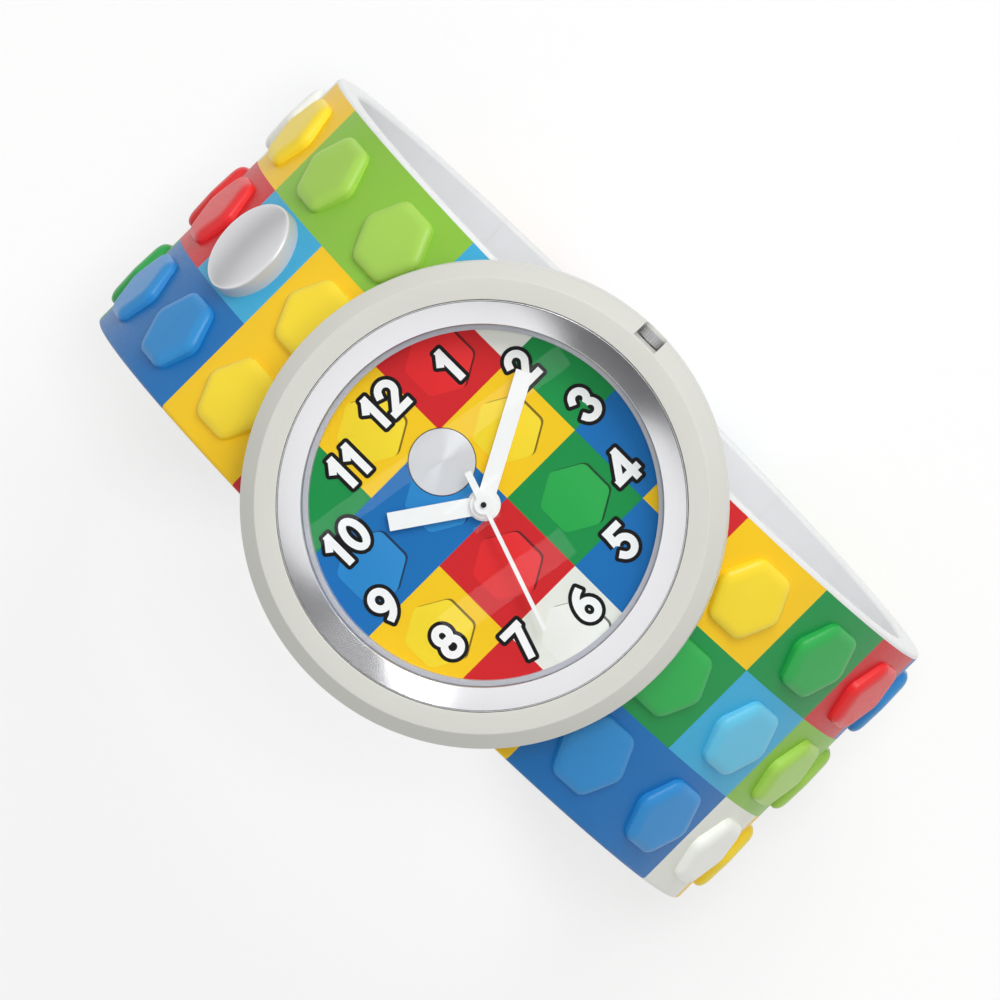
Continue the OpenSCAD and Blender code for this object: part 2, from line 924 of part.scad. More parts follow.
module crown() {
    color(STEEL)
        difference() {
            translate([crown_inner_x, 0, z_stem])
                rotate([0, 90, 0])
                    linear_extrude(crown_length)
                        polygon([
                            for (i = [0 : 2 * crown_flutes - 1])
                                (crown_r - (i % 2) * flute_depth)
                                    * [cos(180 * i / crown_flutes), sin(180 * i / crown_flutes)]
                        ]);
            along_x(crown_inner_x - gap, crown_inner_x + crown_length / 2, stem_r + fit);
        }
}

module stem() {
    color(STEEL)
        difference() {
            along_x(stem_inner_x, crown_inner_x + crown_length / 2 - fit, stem_r);
            stem_groove(gasket_x, gasket_t, groove_r);
            stem_groove(lever_x - gap, lever_t + 2 * gap, lever_groove_r);
        }
}

module stem_groove(x, w, r) {
    difference() {
        along_x(x, x + w, 2 * stem_r);
        along_x(x - w, x + 2 * w, r);
    }
}

module crown_gasket() {
    color(BLACK)
        difference() {
            along_x(gasket_x + fit, gasket_x + gasket_t - fit, gasket_r - fit);
            along_x(gasket_x - gap, gasket_x + 2 * gasket_t, groove_r + fit);
        }
}

// Flat fork in the stem's groove: it slides with the stem and doesn't turn.
module setting_lever() {
    drop = stem_r + gap;
    slot_r = lever_groove_r + loose;
    color(STEEL)
        difference() {
            translate([lever_x, -lever_w / 2, z_stem - drop]) cube([lever_t, lever_w, drop + lever_h]);
            along_x(lever_x - lever_t, lever_x + 2 * lever_t, slot_r);
            translate([lever_x - lever_t, -slot_r, z_stem]) cube([3 * lever_t, 2 * slot_r, lever_w]);
        }
}

module sliding_pinion() {
    color(STEEL)
        difference() {
            translate([sliding_x, 0, z_stem])
                rotate([0, 90, 0])
                    gear(cannon_teeth, 2 * sliding_r / cannon_teeth, 0, sliding_length);
            along_x(sliding_x - gap, sliding_x + sliding_length + gap, stem_r + eps);
        }
}

// Drawing

band_middle();
for (t = TAILS, k = [1 : LINKS])
    band_tail_link(t, k);
slap_spring();
rivet_cap();
rivet_washer();
band_screws();
case_body();
bezel_ring();
crystal();
crystal_gasket();
flange_ring();
case_back();
case_back_gasket();
case_back_screws();
dial();
hour_hand();
minute_hand();
second_hand();
movement_ring();
main_plate();
train_bridge();
bridge_screws();
circuit_board();
quartz_can();
drive_coil();
stator();
battery();
battery_clip();
rotor();
intermediate_wheel();
seconds_wheel();
third_wheel();
centre_wheel();
minute_wheel();
hour_wheel();
crown();
stem();
crown_gasket();
setting_lever();
sliding_pinion();
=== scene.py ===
"""Looks of the toy slap watch, in metres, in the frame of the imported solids."""
import json
import math

import bmesh
import bpy
from mathutils import Matrix, Vector


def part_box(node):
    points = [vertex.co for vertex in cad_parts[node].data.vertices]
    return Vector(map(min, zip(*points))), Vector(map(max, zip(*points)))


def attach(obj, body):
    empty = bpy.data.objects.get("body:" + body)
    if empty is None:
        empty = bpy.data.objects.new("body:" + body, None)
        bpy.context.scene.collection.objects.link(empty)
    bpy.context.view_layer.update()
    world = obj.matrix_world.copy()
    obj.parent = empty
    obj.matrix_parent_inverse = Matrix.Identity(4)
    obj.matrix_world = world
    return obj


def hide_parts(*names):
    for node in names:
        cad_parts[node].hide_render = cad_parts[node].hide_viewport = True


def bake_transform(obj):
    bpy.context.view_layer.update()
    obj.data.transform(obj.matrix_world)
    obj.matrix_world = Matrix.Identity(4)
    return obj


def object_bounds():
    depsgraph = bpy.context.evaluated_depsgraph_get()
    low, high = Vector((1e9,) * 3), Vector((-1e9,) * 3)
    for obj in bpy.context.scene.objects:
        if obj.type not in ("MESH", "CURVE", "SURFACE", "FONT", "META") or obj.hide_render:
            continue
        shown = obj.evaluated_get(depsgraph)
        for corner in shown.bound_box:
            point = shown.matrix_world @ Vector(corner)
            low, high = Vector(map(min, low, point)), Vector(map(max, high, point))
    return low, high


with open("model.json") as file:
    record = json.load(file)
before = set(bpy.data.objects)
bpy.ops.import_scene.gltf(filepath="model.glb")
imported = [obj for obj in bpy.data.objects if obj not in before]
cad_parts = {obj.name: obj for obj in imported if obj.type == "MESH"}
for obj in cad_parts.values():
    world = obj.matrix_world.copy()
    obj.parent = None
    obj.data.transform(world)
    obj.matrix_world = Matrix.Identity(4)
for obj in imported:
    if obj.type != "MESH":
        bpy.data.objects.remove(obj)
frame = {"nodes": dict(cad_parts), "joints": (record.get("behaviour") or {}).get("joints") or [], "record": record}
cad_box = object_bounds()
scene = bpy.context.scene

# Sizes of the band, from the frame's hinges, mount and boxes
MM = 0.001
JOINTS = {joint["name"]: joint for joint in frame["joints"]}
TAILS = {"12": 1, "6": -1}
LINKS = sum(name.startswith("band_6_hinge") for name in JOINTS)
HINGES = [Vector(JOINTS["band_12_hinge_%d" % link]["pos_m"]) for link in (1, 2)]
BAND_R = HINGES[0].length
STEP = HINGES[0].angle(HINGES[1])
BAND_IN = frame["record"]["mounts"][0]["dims"]["r_mm"] * MM
BAND_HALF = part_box("band_middle")[1].x
BAND_EDGE = 0.35 * MM
TIP_EDGE = 1.2 * BAND_EDGE
SPRING_HALF = BAND_HALF - 3.2 * MM
SPRING_R = (BAND_R - 1.15 * MM, BAND_R - 0.9 * MM)
SPRING_END_SHARE = 0.25
PITCH_SHARE = 0.318
PAD_PITCH = 2 * BAND_HALF * PITCH_SHARE
PAD_FLATS = 6.4 * MM
PAD_CORNER = 1.2 * MM
PAD_HEIGHT = 0.8 * MM
PAD_SINK = 0.35 * MM
PAD_SOFT = 0.75 * PAD_HEIGHT
PAD_REACH = 1.1 * MM

# Sizes of the rivet
RIVET_LINK = 3
RIVET_R = 4.1 * MM
RIVET_LOW = BAND_R - 0.3 * MM
RIVET_TOP = BAND_R + 1.49 * MM
RIVET_DOME = 0.35 * MM
RIVET_EDGE = 0.28 * MM
POST_R = 1.2 * MM
POST_LOW = BAND_R - 2 * MM

# Sizes of the case, from the boxes of its solids
CASE_LOW, CASE_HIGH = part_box("case_body")
CASE_R = CASE_HIGH.y
CASE_TOP = CASE_HIGH.z
BEVEL_W = 1.2 * MM
BEVEL_H = 1.6 * MM
TAPER = 0.8 * MM
BORE_R = 16.5 * MM
LOOSE = 0.05 * MM
SEAT_Z = CASE_TOP - 2.2 * MM
LIP_Z = CASE_TOP - 2.7 * MM
FOOT_EDGE = 0.2 * MM
TAPER_EDGE = 0.4 * MM
SIDE_EDGE = 0.3 * MM
TOP_EDGE = 0.14 * MM
LIP_EDGE = 0.1 * MM
BEZEL_LOW, BEZEL_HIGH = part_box("bezel_ring")
BEZEL_R = BEZEL_HIGH.x
BEZEL_IN = 14.18 * MM
BEZEL_EDGE = 0.1 * MM
BEZEL_SLOPE = 0.45 * MM
BEZEL_ROUNDS = (0.06 * MM, 0.25 * MM, 0.08 * MM)
FLANGE_R = BEZEL_IN + 0.8 * MM
FLANGE_T = 0.6 * MM
CRYSTAL_LOW, CRYSTAL_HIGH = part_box("crystal")
CRYSTAL_R = BEZEL_IN - LOOSE
CRYSTAL_EDGE = 0.3 * MM
CROWN_LOW, CROWN_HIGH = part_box("crown")
STEM_Z = (CROWN_LOW.z + CROWN_HIGH.z) / 2
POCKET_HALF = CROWN_HIGH.y + 0.12 * MM
POCKET_X = CROWN_LOW.x - 0.12 * MM
TUBE_R = 0.87 * MM

# Sizes of the dial's print
DIAL_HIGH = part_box("dial")[1]
DIAL_R = DIAL_HIGH.x
DIAL_Z = DIAL_HIGH.z
INK = 0.012 * MM
PAINTED_SHADOW_TOP = DIAL_Z + 2 * INK
SPOT_TOP = DIAL_Z + 3 * INK
EDGE_Z = DIAL_Z + 4 * INK
FACE_Z = DIAL_Z + 5 * INK
STROKE_RISE = INK / 8
CELL = 7.5 * MM
SHIFT = Vector((1.6 * MM, -0.9 * MM))
SPOT_FLATS = 4.9 * MM
SPOT_CORNER = 0.6 * MM
SPOT_SOFT = INK / 2
SPOT_ROOM = 2.9 * MM
# Shift of the painted shadow from its spot
PAINTED_SHADOW_MOVE = Vector((0.2 * MM, -0.06 * MM))
NUMERAL_R = 11.1 * MM
DIGIT_H = 2.4 * MM
DIGIT_W = 1.32 * MM
NARROW_W = 0.5 * MM
DIGIT_GAP = 1.05 * MM
FACE_PEN = 0.3 * MM
EDGE_PEN = 0.6 * MM
DISC_Y = 4.68 * MM
DISC_R = 2.62 * MM
DISC_TOP = 0.15 * MM
DISC_DROP = 0.01 * MM
DISC_ROUND = 0.07 * MM
# The ring of painted shade round the disc's edge
DISC_SHADE_RING = (2.5 * MM, 2.69 * MM)
DISC_SHADE_TOP = DIAL_Z + 5 * INK

# Counts of segments in round shapes
RING_SEGMENTS = 240
BEZEL_SEGMENTS = 360
DISC_SEGMENTS = 120
DIAL_SEGMENTS = 180
TUBE_SEGMENTS = 32
POCKET_STEPS = 24
BOW_STEPS = 24
CORNER_STEPS = 5
TIP_STEPS = 5
BAND_EDGE_STEPS = 4
PAD_CORNER_STEPS = 6
PAD_EDGE_STEPS = 8
SPOT_CORNER_STEPS = 4
SPOT_EDGE_STEPS = 3
SLEEVE_CUTS = 16
END_CUTS = 8
END_ROUND_CUTS = 5

# Material helpers
NOISE_RANGE = (0.3, 0.7)
ROUGH_SPREAD = 0.12
BROAD = 5 * MM
BUMP_DEPTH = 0.01 * MM
COAT_ROUGH = 0.1
TURNED_GRAIN = 0.25
SUB_RADIUS = (1, 0.9, 0.8)
SUB_SCALE = 0.6 * MM
RGB_LOW, RGB_HIGH, RGB_OUT = 6, 7, 2


def lin(red, green, blue):
    """A screen colour from 0 to 255 as linear light."""
    out = []
    for level in (red, green, blue):
        level /= 255
        out.append(level / 12.92 if level <= 0.04045 else ((level + 0.055) / 1.055) ** 2.4)
    return (*out, 1)


def mixed(tree, low, high, factor):
    """A colour between two, by a factor; the mix node's colour sockets are found by number."""
    node = tree.nodes.new("ShaderNodeMix")
    node.data_type = "RGBA"
    node.inputs[RGB_LOW].default_value = low
    node.inputs[RGB_HIGH].default_value = high
    tree.links.new(factor, node.inputs[0])
    return node.outputs[RGB_OUT]


def scaled(tree, value, low, high):
    """Noise spread over the range from low to high."""
    node = tree.nodes.new("ShaderNodeMapRange")
    node.inputs["From Min"].default_value = NOISE_RANGE[0]
    node.inputs["From Max"].default_value = NOISE_RANGE[1]
    node.inputs["To Min"].default_value = low
    node.inputs["To Max"].default_value = high
    tree.links.new(value, node.inputs["Value"])
    return node.outputs["Result"]


def noise(tree, size, stretch=(1, 1, 1), detail=3):
    """Noise whose features are about size metres, stretched along an axis by a small number there."""
    coord = tree.nodes.new("ShaderNodeTexCoord")
    mapping = tree.nodes.new("ShaderNodeMapping")
    mapping.inputs["Scale"].default_value = [s / size for s in stretch]
    texture = tree.nodes.new("ShaderNodeTexNoise")
    texture.inputs["Scale"].default_value = 1
    texture.inputs["Detail"].default_value = detail
    tree.links.new(coord.outputs["Object"], mapping.inputs["Vector"])
    tree.links.new(mapping.outputs["Vector"], texture.inputs["Vector"])
    return texture.outputs["Fac"]


def material(name, colour, rough, metal=0, spread=0.05, grain=0.35 * MM, stretch=(1, 1, 1), bump=0.04,
             coat=0, aniso=0, axis=None, sub=0, spec=0.5):
    """A finish with a fine grain: its colour, gloss and surface vary a little from place to place."""
    mat = bpy.data.materials.new(name)
    mat.use_nodes = True
    tree = mat.node_tree
    shader = tree.nodes["Principled BSDF"]
    fine = noise(tree, grain, stretch)
    broad = noise(tree, BROAD, (1, 1, 1), 1)
    low = tuple(level * (1 - spread) for level in colour[:3]) + (1,)
    high = tuple(min(1, level * (1 + spread)) for level in colour[:3]) + (1,)
    tree.links.new(mixed(tree, low, high, broad), shader.inputs["Base Color"])
    gloss = scaled(tree, fine, rough * (1 - ROUGH_SPREAD), rough * (1 + ROUGH_SPREAD))
    tree.links.new(gloss, shader.inputs["Roughness"])
    shader.inputs["Metallic"].default_value = metal
    shader.inputs["Specular IOR Level"].default_value = spec
    shader.inputs["Coat Weight"].default_value = coat
    shader.inputs["Coat Roughness"].default_value = COAT_ROUGH
    shader.inputs["Anisotropic"].default_value = aniso
    shader.inputs["Anisotropic Rotation"].default_value = TURNED_GRAIN if axis else 0
    if sub:
        shader.inputs["Subsurface Weight"].default_value = sub
        shader.inputs["Subsurface Radius"].default_value = SUB_RADIUS
        shader.inputs["Subsurface Scale"].default_value = SUB_SCALE
    if bump:
        node = tree.nodes.new("ShaderNodeBump")
        node.inputs["Strength"].default_value = bump
        node.inputs["Distance"].default_value = BUMP_DEPTH
        tree.links.new(fine, node.inputs["Height"])
        tree.links.new(node.outputs["Normal"], shader.inputs["Normal"])
    if axis:
        tangent = tree.nodes.new("ShaderNodeTangent")
        tangent.direction_type = "RADIAL"
        tangent.axis = axis
        tree.links.new(tangent.outputs["Tangent"], shader.inputs["Tangent"])
    return mat


# Printed inks: the ground of a square, and the lighter tone of what is raised on it
INKS = {
    "yellow": ((255, 205, 20), (255, 222, 45)),
    "red": ((213, 30, 36), (234, 40, 44)),
    "green": ((14, 146, 70), (40, 172, 78)),
    "blue": ((13, 112, 184), (41, 140, 208)),
    "white": ((238, 240, 230), (246, 247, 240)),
    "lime": ((140, 196, 62), (166, 212, 84)),
    "sky": ((62, 174, 218), (100, 196, 230)),
}
INK_NAMES = sorted(INKS)
GROUND, RAISED = 0, 1
# Depth of the painted shadow beside each dial spot, as a share of its ink's colour
PAINTED_SHADOW_SHARE = 0.22


def ink_set(prefix, tone, rough, spec, grain=0.35 * MM):
    """One finish for each ink."""
    return {ink: material(prefix + ink, lin(*tones[tone]), rough, grain=grain, bump=0, spec=spec)
            for ink, tones in INKS.items()}


def shade_set():
    """A painted shadow beside each printed spot, in a deep tone of its ink."""
    out = {}
    for ink, tones in INKS.items():
        deep = [PAINTED_SHADOW_SHARE * level for level in lin(*tones[GROUND])[:3]]
        out[ink] = material("shade_" + ink, deep, 0.5, bump=0, spec=0.3)
    return out


PRINT = ink_set("print_", GROUND, 0.42, 0.4)
PADS = ink_set("pad_", RAISED, 0.36, 0.45)
DIAL = ink_set("dial_", GROUND, 0.5, 0.3, 0.2 * MM)
SPOTS = ink_set("spot_", RAISED, 0.5, 0.3, 0.2 * MM)
PAINTED_SHADOWS = shade_set()

# Finishes of the band, the case and the dial
WHITE = material("silicone_white", lin(234, 235, 235), 0.42, coat=0.1, sub=0.15)
INSIDE = material("silicone_inside", lin(225, 226, 228), 0.5, sub=0.15)
CASE = material("case_satin", lin(212, 212, 204), 0.36, spread=0.02, grain=0.25 * MM, bump=0.06)
CHROME = material("bezel_turned", lin(236, 236, 239), 0.2, metal=1, spread=0.02, grain=0.1 * MM, bump=0,
                  aniso=0.8, axis="Z")
RIVET = material("rivet_turned", lin(226, 226, 228), 0.32, metal=0.85, spread=0.02, grain=0.12 * MM, bump=0)
RIVET_SIDE = material("rivet_side", lin(206, 206, 210), 0.5, metal=0.25, spread=0.02, grain=0.12 * MM,
                      bump=0)
DISC = material("disc_turned", lin(234, 234, 237), 0.42, metal=0.4, spread=0.02, grain=0.12 * MM, bump=0,
                aniso=0.85, axis="Z")
# Dark grey of the painted shade round the silver disc's edge
DISC_EDGE_SHADE = material("disc_edge_shade", lin(78, 78, 82), 0.4, metal=0.6, bump=0)
FLANGE = material("flange_grey", lin(212, 212, 220), 0.4, metal=0.3, spread=0.02, bump=0)
HAND = material("hand_white", lin(253, 253, 252), 0.4, spread=0.01, bump=0)
INK_WHITE = material("numeral_white", lin(253, 253, 252), 0.5, spread=0.01, bump=0, spec=0.3)
INK_BLACK = material("numeral_black", lin(10, 9, 10), 0.5, spread=0.1, bump=0, spec=0.2)
CROWN = material("crown_satin", lin(200, 200, 204), 0.34, metal=0.55, spread=0.01, grain=0.15 * MM, bump=0)

# The lens
LENS_GRAIN = 2 * MM
LENS_ROUGH = (0.004, 0.01)
LENS_TINT = (0.985, 0.992, 0.995, 1)
LENS_MIRROR = (0.02, 0.9)
LENS_STEEP = 5


def clear_lens():
    """Acrylic: the view passes straight through, and the surface reflects by the angle."""
    mat = bpy.data.materials.new("lens_clear")
    mat.use_nodes = True
    tree = mat.node_tree
    shader = tree.nodes["Principled BSDF"]
    shader.inputs["Base Color"].default_value = (1, 1, 1, 1)
    shader.inputs["Metallic"].default_value = 1
    tree.links.new(scaled(tree, noise(tree, LENS_GRAIN), *LENS_ROUGH), shader.inputs["Roughness"])
    through = tree.nodes.new("ShaderNodeBsdfTransparent")
    through.inputs["Color"].default_value = LENS_TINT
    weight = tree.nodes.new("ShaderNodeLayerWeight")
    weight.inputs["Blend"].default_value = 0.5
    steep = tree.nodes.new("ShaderNodeMath")
    steep.operation = "POWER"
    steep.inputs[1].default_value = LENS_STEEP
    tree.links.new(weight.outputs["Facing"], steep.inputs[0])
    amount = tree.nodes.new("ShaderNodeMapRange")
    amount.inputs["To Min"].default_value = LENS_MIRROR[0]
    amount.inputs["To Max"].default_value = LENS_MIRROR[1]
    tree.links.new(steep.outputs[0], amount.inputs["Value"])
    mix = tree.nodes.new("ShaderNodeMixShader")
    tree.links.new(amount.outputs["Result"], mix.inputs[0])
    tree.links.new(through.outputs["BSDF"], mix.inputs[1])
    tree.links.new(shader.outputs["BSDF"], mix.inputs[2])
    tree.links.new(mix.outputs["Shader"], tree.nodes["Material Output"].inputs["Surface"])
    return mat


LENS = clear_lens()

# A finish for each material slot of the record
ROLLED = (0.05, 1, 1)
BRUSHED = (0.1, 1, 1)
WOUND = (1, 0.05, 0.05)
SLOTS = {
    "spring_steel": material("spring_steel", lin(190, 192, 196), 0.28, metal=1, grain=0.2 * MM,
                             stretch=ROLLED),
    "rivet_metal": RIVET,
    "steel": material("steel_satin", lin(196, 197, 200), 0.3, metal=1, grain=0.15 * MM, stretch=BRUSHED),
    "case_plastic": CASE,
    "bezel_chrome": CHROME,
    "black_rubber": material("rubber_black", lin(28, 28, 30), 0.6, bump=0.1),
    "flange_grey": FLANGE,
    "dial_print": material("dial_plate", lin(225, 225, 222), 0.4),
    "hand_white": HAND,
    "white_plastic": material("plastic_white", lin(232, 233, 228), 0.45),
    "brass": material("brass_satin", lin(206, 172, 98), 0.28, metal=1, grain=0.15 * MM, stretch=BRUSHED),
    "board_green": material("board_green", lin(24, 96, 58), 0.35, spread=0.15, grain=0.5 * MM),
    "copper_winding": material("copper_winding", lin(176, 96, 48), 0.35, metal=0.9, grain=0.1 * MM,
                               stretch=WOUND, bump=0.4),
    "black_steel": material("steel_black", lin(16, 16, 18), 0.4, metal=0.2),
    "band_white": WHITE,
    "crystal_clear": LENS,
}
for ink in ("yellow", "red", "green", "blue"):
    SLOTS["print_" + ink] = PRINT[ink]

for part in frame["record"]["subparts"]:
    mesh = frame["nodes"][part["node"]].data
    mesh.materials.clear()
    mesh.materials.append(CROWN if part["node"] == "crown" else SLOTS[part["material_slot"]])


# Mesh helpers
SHARP = math.radians(35)
QUARTER = math.pi / 2
ON_AXIS = 1e-9
CORNER_SHARE = 0.49


def finish_mesh(name, verts, faces, mats, indices=None):
    """A new object with smooth faces and sharp edges where they meet steeply."""
    mesh = bpy.data.meshes.new(name)
    mesh.from_pydata(verts, [], faces)
    for mat in mats:
        mesh.materials.append(mat)
    if indices:
        mesh.polygons.foreach_set("material_index", indices)
    mesh.validate()
    mesh.shade_smooth()
    mesh.set_sharp_from_angle(angle=SHARP)
    obj = bpy.data.objects.new(name, mesh)
    scene.collection.objects.link(obj)
    return obj


def rounded(points, steps=CORNER_STEPS):
    """A closed outline of (a, b, radius) corners, with each corner rounded within its share of the sides."""
    out = []
    for i, (a, b, radius) in enumerate(points):
        if not radius:
            out.append((a, b))
            continue
        here = Vector((a, b))
        back = Vector(points[i - 1][:2]) - here
        on = Vector(points[(i + 1) % len(points)][:2]) - here
        half = back.angle(on) / 2
        reach = min(radius / math.tan(half), back.length * CORNER_SHARE, on.length * CORNER_SHARE)
        away = reach / math.cos(half)
        middle = here + (back.normalized() + on.normalized()).normalized() * away
        first = here + back.normalized() * reach - middle
        last = here + on.normalized() * reach - middle
        turn = first.angle_signed(last)
        for s in range(steps + 1):
            cos, sin = math.cos(-turn * s / steps), math.sin(-turn * s / steps)
            out.append((middle.x + first.x * cos - first.y * sin, middle.y + first.x * sin + first.y * cos))
    return out


def circle(radius, segments):
    """Points round a circle, as (x, y)."""
    turns = [2 * math.pi * s / segments for s in range(segments)]
    return [(radius * math.cos(turn), radius * math.sin(turn)) for turn in turns]


def lathe(name, outline, mat, segments=RING_SEGMENTS):
    """A ring or disc from a closed outline of (radius, height); radius 0 closes on the axis."""
    verts, faces, rings = [], [], []
    for radius, z in outline:
        points = [(0, 0)] if radius < ON_AXIS else circle(radius, segments)
        rings.append(range(len(verts), len(verts) + len(points)))
        verts += [(x, y, z) for x, y in points]
    for low, high in zip(rings, rings[1:] + rings[:1]):
        if len(low) == len(high) == 1:
            continue
        for s in range(segments):
            t = (s + 1) % segments
            if len(low) == 1:
                faces.append((low[0], high[t], high[s]))
            elif len(high) == 1:
                faces.append((low[s], low[t], high[0]))
            else:
                faces.append((low[s], low[t], high[t], high[s]))
    return finish_mesh(name, verts, faces, [mat])


def prism(name, outline, low, high, mat, soft, reach, steps):
    """An upright prism on an outline of (x, y), with its upper edge rounded: soft high and reach wide."""
    middle = Vector((sum(p[0] for p in outline), sum(p[1] for p in outline))) / len(outline)
    levels = [(low, 0)]
    for s in range(steps + 1):
        turn = QUARTER * s / steps
        levels.append((high - soft * (1 - math.sin(turn)), reach * (1 - math.cos(turn))))
    verts, faces, count = [], [], len(outline)
    for z, inset in levels:
        for point in outline:
            arm = Vector(point) - middle
            x, y = middle + arm * (1 - inset / arm.length)
            verts.append((x, y, z))
    for level in range(0, count * (len(levels) - 1), count):
        for s in range(count):
            t = (s + 1) % count
            faces.append((level + s, level + t, level + count + t, level + count + s))
    faces.append(tuple(range(count - 1, -1, -1)))
    faces.append(tuple(range(len(verts) - count, len(verts))))
    return finish_mesh(name, verts, faces, [mat])


def bar_along_x(name, outline, low, high):
    """A bar along X on an outline of (y, z)."""
    count = len(outline)
    verts = [(x, y, z) for x in (low, high) for y, z in outline]
    faces = [(s, (s + 1) % count, count + (s + 1) % count, count + s) for s in range(count)]
    faces += [tuple(range(count - 1, -1, -1)), tuple(range(count, 2 * count))]
    return finish_mesh(name, verts, faces, [CASE])


def cut(obj, *tools):
    """Takes the tools away from obj, for good."""
    for tool in tools:
        modifier = obj.modifiers.new("cut", "BOOLEAN")
        modifier.operation = "DIFFERENCE"
        modifier.solver = "EXACT"
        modifier.object = tool
        bpy.context.view_layer.update()
        solved = obj.evaluated_get(bpy.context.evaluated_depsgraph_get())
        mesh = bpy.data.meshes.new_from_object(solved)
        obj.modifiers.clear()
        obj.data = mesh
    for tool in tools:
        bpy.data.objects.remove(tool)
    obj.data.shade_smooth()
    obj.data.set_sharp_from_angle(angle=SHARP)


def hexagon(flats, corner, steps):
    """A hexagon with its corners along Y, as an outline of (x, y)."""
    arm = flats / math.sqrt(3)
    turns = [math.pi / 3 * s for s in range(6)]
    return rounded([(-arm * math.sin(turn), arm * math.cos(turn), corner) for turn in turns], steps)


# Band: colours of the squares on each link, from the 9 o'clock side to the 3 o'clock side
ROWS = {
    "12": ["green blue red", "red green sky", "yellow yellow lime", "blue sky lime", "blue red yellow",
           "green red white", "sky yellow green", "lime blue blue", "red white yellow", "green sky red"],
    "6": ["green blue red", "yellow red red", "blue green yellow", "blue sky green", "white lime red",
          "yellow lime blue", "red green sky", "white blue yellow", "green red lime", "blue yellow sky"],
}
BAND_MATS = [WHITE] + [PRINT[ink] for ink in INK_NAMES] + [INSIDE]
STRIP = [(-SPRING_HALF, SPRING_R[1], None), (SPRING_HALF, SPRING_R[1], None),
         (SPRING_HALF, SPRING_R[0], None), (-SPRING_HALF, SPRING_R[0], None)]


def around(x, radius, angle, side):
    """A point on the band at an angle from the top, on the tail's own side."""
    return (x, side * radius * math.sin(angle), radius * math.cos(angle))


def band_outline():
    """The sleeve's section: (x, radius, print), where print is a column, "inside", or None for white."""
    flat = BAND_HALF - BAND_EDGE
    column_edge = PAD_PITCH / 2
    upper = BAND_R - BAND_EDGE
    lower = BAND_IN + BAND_EDGE
    points = [(-flat, BAND_R, 0), (-column_edge, BAND_R, 1), (column_edge, BAND_R, 2)]

    def corner(x, radius, start, column=None):
        for s in range(BAND_EDGE_STEPS + 1):
            turn = start - QUARTER * s / BAND_EDGE_STEPS
            points.append((x + BAND_EDGE * math.cos(turn), radius + BAND_EDGE * math.sin(turn), column))

    corner(flat, upper, QUARTER)
    corner(flat, lower, 0)
    points[-1] = (*points[-1][:2], "inside")
    corner(-flat, lower, -QUARTER)
    corner(-flat, upper, math.pi, 0)
    return points[:-1]


def painter(tail):
    """Picks the finish of a stretch of a tail's sleeve, from its print and its angle from the top."""
    def paint(column, angle):
        if column is None:
            return 0
        if column == "inside":
            return len(BAND_MATS) - 1
        row = min(int(angle / STEP + 0.5), LINKS)
        return 1 + INK_NAMES.index(ROWS[tail][row].split()[column])

    return paint


def sweep(name, outline, stations, side, mats, paint=None):
    """A closed bar along the band. A station is (angle, inset), where inset draws the section in."""
    centre = (BAND_R + BAND_IN) / 2
    verts, faces, indices, count = [], [], [], len(outline)
    for angle, inset in stations:
        for x, radius, _ in outline:
            x -= math.copysign(min(inset, abs(x)), x)
            radius -= math.copysign(min(inset, abs(radius - centre)), radius - centre)
            verts.append(around(x, radius, angle, side))
    for j in range(len(stations) - 1):
        middle = (stations[j][0] + stations[j + 1][0]) / 2
        for s in range(count):
            t = (s + 1) % count
            face = (j * count + s, j * count + t, (j + 1) * count + t, (j + 1) * count + s)
            faces.append(face if side > 0 else face[::-1])
            indices.append(paint(outline[s][2], middle) if paint else 0)
    ends = [tuple(range(count)), tuple(range(len(verts) - 1, len(verts) - count - 1, -1))]
    faces += [end[::-1] if side > 0 else end for end in ends]
    indices += [0, 0]
    return finish_mesh(name, verts, faces, mats, indices)


def sleeve_stations(link):
    """From the middle of the link before to the middle of this one, or to the tail's rounded end."""
    stations = [(STEP * (link - 1 + s / SLEEVE_CUTS), 0) for s in range(SLEEVE_CUTS + 1)]
    if link < LINKS:
        return stations
    last = STEP * LINKS
    bend = STEP * (LINKS + 0.5) - TIP_EDGE / BAND_R
    stations += [(last + (bend - last) * s / END_CUTS, 0) for s in range(1, END_CUTS + 1)]
    for s in range(1, END_ROUND_CUTS + 1):
        turn = QUARTER * s / END_ROUND_CUTS
        stations.append((bend + TIP_EDGE / BAND_R * math.sin(turn), TIP_EDGE * (1 - math.cos(turn))))
    return stations


def spring_stations(link):
    """As for the sleeve, with half the cuts; the last stretch ends short of the sleeve's end."""
    stations = [(STEP * (link - 1 + s / SLEEVE_CUTS), 0) for s in range(0, SLEEVE_CUTS + 1, 2)]
    return stations if link < LINKS else stations + [(STEP * (LINKS + SPRING_END_SHARE), 0)]


def pad_row(tail, side, link):
    """The raised pads on a link: rounded hexagons with a soft, low upper edge."""
    outline = hexagon(PAD_FLATS, PAD_CORNER, PAD_CORNER_STEPS)
    low = BAND_R - PAD_SINK
    high = BAND_R + PAD_HEIGHT
    pads = []
    for column, ink in enumerate(ROWS[tail][link].split()):
        if (tail, link, column) == ("12", RIVET_LINK, 1):
            continue
        moved = [(x + (column - 1) * PAD_PITCH, y) for x, y in outline]
        pad = prism("pad", moved, low, high, PADS[ink], PAD_SOFT, PAD_REACH, PAD_EDGE_STEPS)
        pad.data.transform(Matrix.Rotation(-side * STEP * link, 4, "X"))
        pads.append(pad)
    chosen = {"active_object": pads[0], "selected_editable_objects": pads, "selected_objects": pads}
    with bpy.context.temp_override(**chosen):
        bpy.ops.object.join()
    pads[0].name = pads[0].data.name = "pads_%s_%d" % (tail, link)
    return pads[0]


